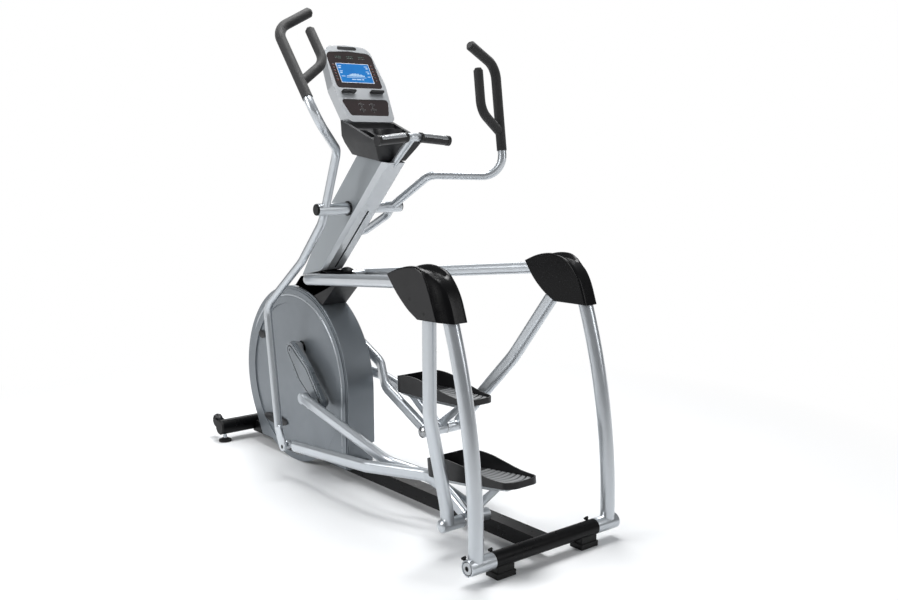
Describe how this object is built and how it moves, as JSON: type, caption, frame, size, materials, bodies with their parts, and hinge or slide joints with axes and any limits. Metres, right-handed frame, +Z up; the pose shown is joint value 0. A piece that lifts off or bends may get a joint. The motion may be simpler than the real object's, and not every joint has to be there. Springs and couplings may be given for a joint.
{
  "type": "elliptical trainer",
  "caption": "Elliptical trainer: swinging pedals hung from a rear rail frame, crank shroud, bent moving handles, leaning mast with console, tray and pulse bar.",
  "frame": {"origin": "centre of the footprint, on the floor plane", "axes": "+X to the right hand of the user, +Y ahead of the user towards the crank shroud, +Z up"},
  "size_m": [0.751, 1.911, 1.756],
  "materials": {
    "silver_paint": "metallic silver powder coat",
    "black_paint": "satin black powder coat",
    "black_plastic": "fine textured moulding",
    "dark_plastic": "fine textured moulding",
    "grey_plastic": "metallic grey moulding",
    "tread_grey": "ribbed moulding",
    "black_rubber": "matt",
    "foam": "soft matt foam",
    "steel": "zinc plated",
    "iron": "painted casting",
    "cast_alloy": "turned",
    "silver_plastic": "satin silver paint",
    "sensor_metal": "polished",
    "panel_black": "glossy overlay",
    "screen_blue": "lit display"
  },
  "bodies": {
    "frame": {"main_beam": "black_paint", "front_stabilizer": "black_paint", "tube_end_caps": "black_rubber", "rubber_feet": "black_rubber", "leveling_screws": "steel", "rear_cross_tube": "black_paint", "left_upright": "silver_paint", "right_upright": "silver_paint", "left_side_rail": "silver_paint", "right_side_rail": "silver_paint", "left_housing": "black_plastic", "right_housing": "black_plastic", "housing_panels": "dark_plastic", "housing_screws": "steel", "arm_pins": "steel", "core_frame": "black_paint", "mast_cover": "grey_plastic", "mast_boot": "black_plastic", "shroud_left": "grey_plastic", "shroud_right": "grey_plastic", "shroud_rim": "dark_plastic", "drive_belt": "black_rubber", "brake_magnet": "iron", "handle_shaft": "black_paint", "console_shell": "silver_plastic", "console_bezel": "silver_plastic", "display_panel": "panel_black", "lcd_screen": "screen_blue", "keypad_panel": "panel_black", "console_tray": "dark_plastic", "pulse_bar": "silver_paint", "pulse_grips": "black_plastic", "pulse_sensors": "sensor_metal"},
    "left_wheel": {"left_wheel": "black_rubber"},
    "right_wheel": {"right_wheel": "black_rubber"},
    "left_arm": {"left_arm": "silver_paint", "left_foot_axle": "steel"},
    "right_arm": {"right_arm": "silver_paint", "right_foot_axle": "steel"},
    "left_link": {"left_link": "silver_paint"},
    "right_link": {"right_link": "silver_paint"},
    "left_pedal": {"left_pedal_link": "silver_paint", "left_pedal": "black_plastic", "left_tread": "tread_grey"},
    "right_pedal": {"right_pedal_link": "silver_paint", "right_pedal": "black_plastic", "right_tread": "tread_grey"},
    "left_handle": {"left_handle": "silver_paint", "left_grip": "foam"},
    "right_handle": {"right_handle": "silver_paint", "right_grip": "foam"},
    "crank": {"crank_axle": "steel", "crank_arms": "iron", "crank_covers": "grey_plastic", "drive_pulley": "cast_alloy"},
    "flywheel": {"flywheel": "iron"},
    "key_1": {"key_1": "silver_plastic"},
    "key_2": {"key_2": "silver_plastic"},
    "key_3": {"key_3": "silver_plastic"},
    "key_4": {"key_4": "silver_plastic"}
  },
  "joints": [
    {"name": "left_arm_swing", "type": "hinge", "parent": "frame", "child": "left_arm", "pos_m": [-0.284, -0.6945, 0.83], "axis": [1, 0, 0], "range_deg": [0, 38.64]},
    {"name": "right_arm_swing", "type": "hinge", "parent": "frame", "child": "right_arm", "pos_m": [0.284, -0.6945, 0.83], "axis": [1, 0, 0], "range_deg": [-38.64, 0]},
    {"name": "left_link_pivot", "type": "hinge", "parent": "left_arm", "child": "left_link", "pos_m": [-0.07, -0.7059, 0.10009], "axis": [1, 0, 0], "range_deg": [-25.68, 0]},
    {"name": "right_link_pivot", "type": "hinge", "parent": "right_arm", "child": "right_link", "pos_m": [0.07, -0.24763, 0.25276], "axis": [1, 0, 0], "range_deg": [0, 25.68]},
    {"name": "left_pedal_pivot", "type": "hinge", "parent": "left_arm", "child": "left_pedal", "pos_m": [-0.125, -0.7059, 0.10009], "axis": [1, 0, 0], "range_deg": [-33.55, 0]},
    {"name": "right_pedal_pivot", "type": "hinge", "parent": "right_arm", "child": "right_pedal", "pos_m": [0.125, -0.24763, 0.25276], "axis": [1, 0, 0], "range_deg": [0, 33.55]},
    {"name": "left_handle_swing", "type": "hinge", "parent": "frame", "child": "left_handle", "pos_m": [-0.12, 0.0755, 1.051], "axis": [1, 0, 0], "range_deg": [0, 31.56]},
    {"name": "right_handle_swing", "type": "hinge", "parent": "frame", "child": "right_handle", "pos_m": [0.12, 0.0755, 1.051], "axis": [1, 0, 0], "range_deg": [-31.56, 0]},
    {"name": "crank_turn", "type": "hinge", "parent": "frame", "child": "crank", "pos_m": [0, 0.4005, 0.473], "axis": [1, 0, 0], "range_deg": [0, 180.01]},
    {"name": "flywheel_spin", "type": "hinge", "parent": "frame", "child": "flywheel", "pos_m": [0, 0.6405, 0.29], "axis": [1, 0, 0], "continuous": true},
    {"name": "left_wheel_spin", "type": "hinge", "parent": "frame", "child": "left_wheel", "pos_m": [-0.162, 0.9255, 0.078], "axis": [1, 0, 0], "continuous": true},
    {"name": "right_wheel_spin", "type": "hinge", "parent": "frame", "child": "right_wheel", "pos_m": [0.162, 0.9255, 0.078], "axis": [1, 0, 0], "continuous": true},
    {"name": "key_1_press", "type": "slide", "parent": "frame", "child": "key_1", "axis": [0, 0.8508, -0.5255], "range_m": [0, 0.0015], "stiffness_N_per_m": 600},
    {"name": "key_2_press", "type": "slide", "parent": "frame", "child": "key_2", "axis": [0, 0.8508, -0.5255], "range_m": [0, 0.0015], "stiffness_N_per_m": 600},
    {"name": "key_3_press", "type": "slide", "parent": "frame", "child": "key_3", "axis": [0, 0.8508, -0.5255], "range_m": [0, 0.0015], "stiffness_N_per_m": 600},
    {"name": "key_4_press", "type": "slide", "parent": "frame", "child": "key_4", "axis": [0, 0.8508, -0.5255], "range_m": [0, 0.0015], "stiffness_N_per_m": 600}
  ],
  "couplings": [
    {"joint": "right_arm_swing", "follows": "left_arm_swing", "ratio": -1},
    {"joint": "left_link_pivot", "follows": "left_arm_swing", "ratio": -0.66458},
    {"joint": "right_link_pivot", "follows": "left_arm_swing", "ratio": 0.66458},
    {"joint": "left_pedal_pivot", "follows": "left_arm_swing", "ratio": -0.86818},
    {"joint": "right_pedal_pivot", "follows": "left_arm_swing", "ratio": 0.86818},
    {"joint": "left_handle_swing", "follows": "left_arm_swing", "ratio": 0.81659},
    {"joint": "right_handle_swing", "follows": "left_arm_swing", "ratio": -0.81659},
    {"joint": "crank_turn", "follows": "left_arm_swing", "ratio": 4.6584}
  ]
}
